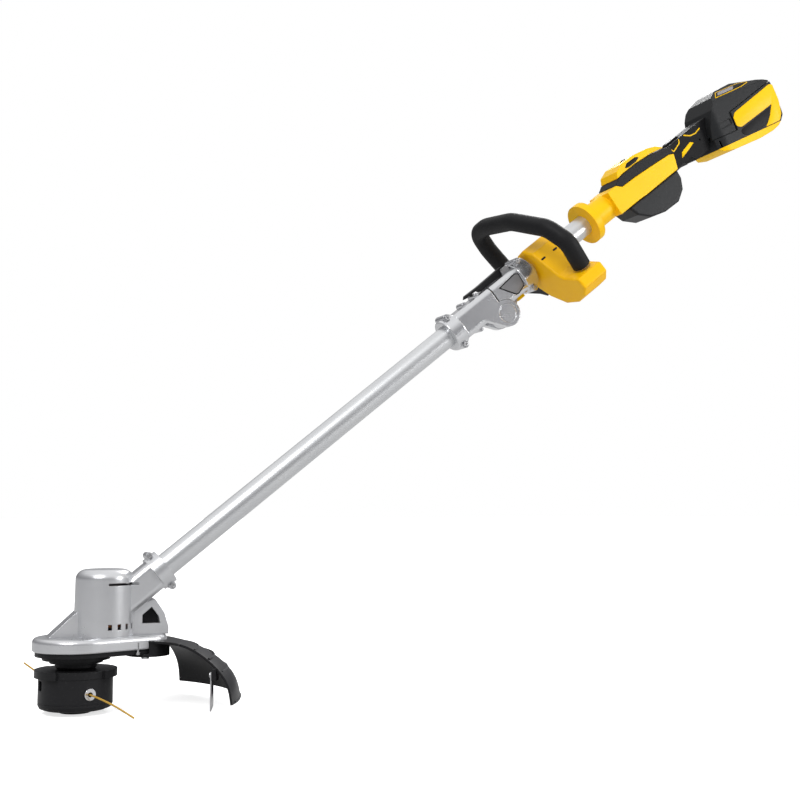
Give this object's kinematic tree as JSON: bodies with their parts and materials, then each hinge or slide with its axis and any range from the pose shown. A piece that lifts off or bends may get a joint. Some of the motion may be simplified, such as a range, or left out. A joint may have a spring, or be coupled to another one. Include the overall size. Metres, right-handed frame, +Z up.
{
  "type": "string trimmer",
  "caption": "Battery string trimmer: a spinning line head with guard and motor on a folding angled shaft, a D-shaped front handle, and a rear grip with trigger and slide-off battery.",
  "frame": {"origin": "centre of the bump knob's lower face, under the spindle axis", "axes": "+Z up along the spindle axis, +X from the cutting head towards the rear grip, +Y to the side away from the hinge pin's near cap"},
  "size_m": [1.1642, 0.2416, 0.954],
  "materials": {
    "silver_casting": "satin silver paint",
    "tube_aluminium": "satin anodised",
    "yellow_plastic": "satin moulded",
    "black_plastic": "fine grain",
    "guard_plastic": "satin moulded",
    "rubber_grip": "soft grip",
    "badge_grey": "satin",
    "release_yellow": "satin",
    "steel": "machined",
    "chrome_ring": "polished",
    "copper": "enamelled wire",
    "core_steel": "laminated",
    "board_green": "resist",
    "cell_wrap": "heat-shrink wrap",
    "cable_sheath": "cable",
    "cutting_line": "extruded nylon"
  },
  "bodies": {
    "rear_unit": {"upper_yoke": "silver_casting", "hinge_pins": "steel", "hinge_badges": "badge_grey", "latch_bracket": "steel", "upper_tube": "tube_aluminium", "upper_lead": "cable_sheath", "rear_housing_left": "yellow_plastic", "rear_housing_right": "yellow_plastic", "cap_band": "black_plastic", "top_cap": "yellow_plastic", "hand_guard": "black_plastic", "control_board": "board_green", "rear_grip_left": "rubber_grip", "rear_grip_right": "rubber_grip", "trigger_switch": "black_plastic", "battery_receiver": "black_plastic", "battery_terminals": "copper", "rear_screws": "steel"},
    "head_unit": {"gear_case": "silver_casting", "gear_cover": "black_plastic", "head_screws": "steel", "head_housing_left": "silver_casting", "head_housing_right": "silver_casting", "motor_windings": "copper", "motor_stator": "core_steel", "motor_bearings": "steel", "spindle_bearings": "steel", "guard": "guard_plastic", "line_cutter": "steel", "lower_tube": "tube_aluminium", "lower_lead": "cable_sheath", "lower_yoke": "silver_casting", "hinge_caps": "black_plastic"},
    "spool_head": {"spindle": "steel", "drive_gear": "steel", "spool_hub": "black_plastic", "spool_housing": "black_plastic", "spool_cover": "black_plastic", "line_eyelets": "chrome_ring", "line_end_near": "cutting_line", "line_end_far": "cutting_line", "bump_spring": "steel"},
    "motor_rotor": {"motor_rotor": "core_steel", "motor_shaft": "steel"},
    "bump_button": {"bump_knob": "black_plastic"},
    "line_spool": {"line_spool": "black_plastic", "wound_line": "cutting_line"},
    "aux_handle": {"handle_core": "steel", "handle_grip": "rubber_grip", "handle_clamp": "yellow_plastic", "handle_bracket": "black_plastic"},
    "battery": {"battery_case": "black_plastic", "battery_base": "yellow_plastic", "battery_cells": "cell_wrap"},
    "battery_latch": {"battery_latch": "black_plastic"},
    "trigger": {"trigger": "black_plastic"},
    "lock_off": {"lock_off": "black_plastic"},
    "speed_switch": {"speed_switch": "black_plastic"},
    "fold_latch": {"fold_latch": "black_plastic"},
    "release_button": {"release_button": "release_yellow"}
  },
  "joints": [
    {"name": "fold", "type": "hinge", "parent": "rear_unit", "child": "head_unit", "pos_m": [0.6045, 0, 0.54188], "axis": [0, -1, 0], "range_deg": [0, 155]},
    {"name": "fold_latch_lift", "type": "hinge", "parent": "rear_unit", "child": "fold_latch", "pos_m": [0.60415, 0, 0.6095], "axis": [0, 1, 0], "range_deg": [0, 25], "stiffness_Nm_per_rad": 0.5, "springref_deg": -14.32},
    {"name": "release_press", "type": "slide", "parent": "rear_unit", "child": "release_button", "axis": [-0.6252, 0, 0.7804], "range_m": [0, 0.0025], "stiffness_N_per_m": 500, "springref_m": -0.003},
    {"name": "handle_slide", "type": "slide", "parent": "rear_unit", "child": "aux_handle", "axis": [0.7804, 0, 0.6252], "range_m": [-0.004, 0.05]},
    {"name": "spindle_spin", "type": "hinge", "parent": "head_unit", "child": "spool_head", "pos_m": [0, 0, 0.07], "axis": [0, 0, 1], "continuous": true},
    {"name": "motor_spin", "type": "hinge", "parent": "head_unit", "child": "motor_rotor", "pos_m": [0.033, 0, 0.12], "axis": [0, 0, 1], "continuous": true},
    {"name": "bump_press", "type": "slide", "parent": "spool_head", "child": "bump_button", "axis": [0, 0, 1], "range_m": [0, 0.005], "stiffness_N_per_m": 1500, "springref_m": -0.004, "deforming": ["bump_spring"]},
    {"name": "line_feed", "type": "hinge", "parent": "bump_button", "child": "line_spool", "pos_m": [0, 0, 0.022], "axis": [0, 0, 1], "continuous": true},
    {"name": "trigger_squeeze", "type": "hinge", "parent": "rear_unit", "child": "trigger", "pos_m": [0.91089, 0, 0.79759], "axis": [0, -1, 0], "range_deg": [0, 12], "stiffness_Nm_per_rad": 0.5, "springref_deg": -11.46},
    {"name": "lock_off_press", "type": "slide", "parent": "rear_unit", "child": "lock_off", "axis": [0.6252, 0, -0.7804], "range_m": [0, 0.0025], "stiffness_N_per_m": 500, "springref_m": -0.003},
    {"name": "speed_select", "type": "slide", "parent": "rear_unit", "child": "speed_switch", "axis": [0.8415, 0, 0.5402], "range_m": [0, 0.006]},
    {"name": "battery_removal", "type": "slide", "parent": "rear_unit", "child": "battery", "axis": [0.8934, 0, 0.4493], "range_m": [0, 0.12]},
    {"name": "battery_latch_press", "type": "slide", "parent": "battery", "child": "battery_latch", "axis": [-0.8934, 0, -0.4493], "range_m": [0, 0.003], "stiffness_N_per_m": 600, "springref_m": -0.003}
  ],
  "couplings": [
    {"joint": "motor_spin", "follows": "spindle_spin", "ratio": -2.6667}
  ]
}
